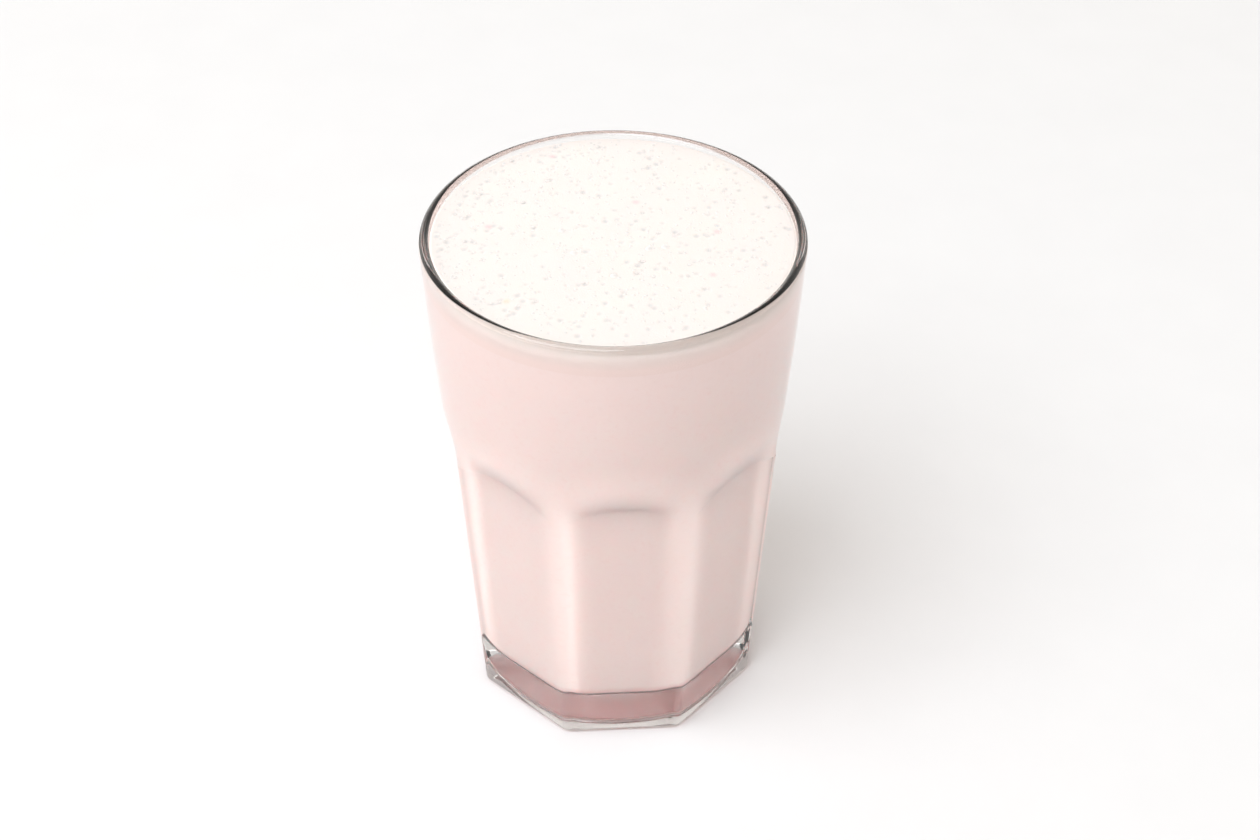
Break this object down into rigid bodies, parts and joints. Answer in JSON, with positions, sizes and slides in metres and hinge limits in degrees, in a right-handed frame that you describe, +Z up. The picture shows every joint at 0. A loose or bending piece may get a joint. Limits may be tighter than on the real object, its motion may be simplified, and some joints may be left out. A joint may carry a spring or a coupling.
{
  "type": "strawberry smoothie in a glass tumbler",
  "caption": "Tall glass tumbler, eight-sided below and round above, filled to the rim with a pale pink smoothie under a head of fine foam.",
  "frame": {"origin": "middle of the flat ring that the glass stands on, on the surface it stands on", "axes": "+Z up along the tumbler's axis; one flat side faces -Y, towards the viewer of the picture"},
  "size_m": [0.0848, 0.0848, 0.1231],
  "materials": {
    "clear_glass": "clear pressed glass, fire-polished and smooth",
    "pink_smoothie": "opaque milky pink liquid, wet and soft",
    "pale_foam": "fine wet foam with small bubbles, near white with a faint pink"
  },
  "bodies": {
    "root": {"glass": "clear_glass", "smoothie": "pink_smoothie", "foam": "pale_foam"}
  },
  "joints": []
}
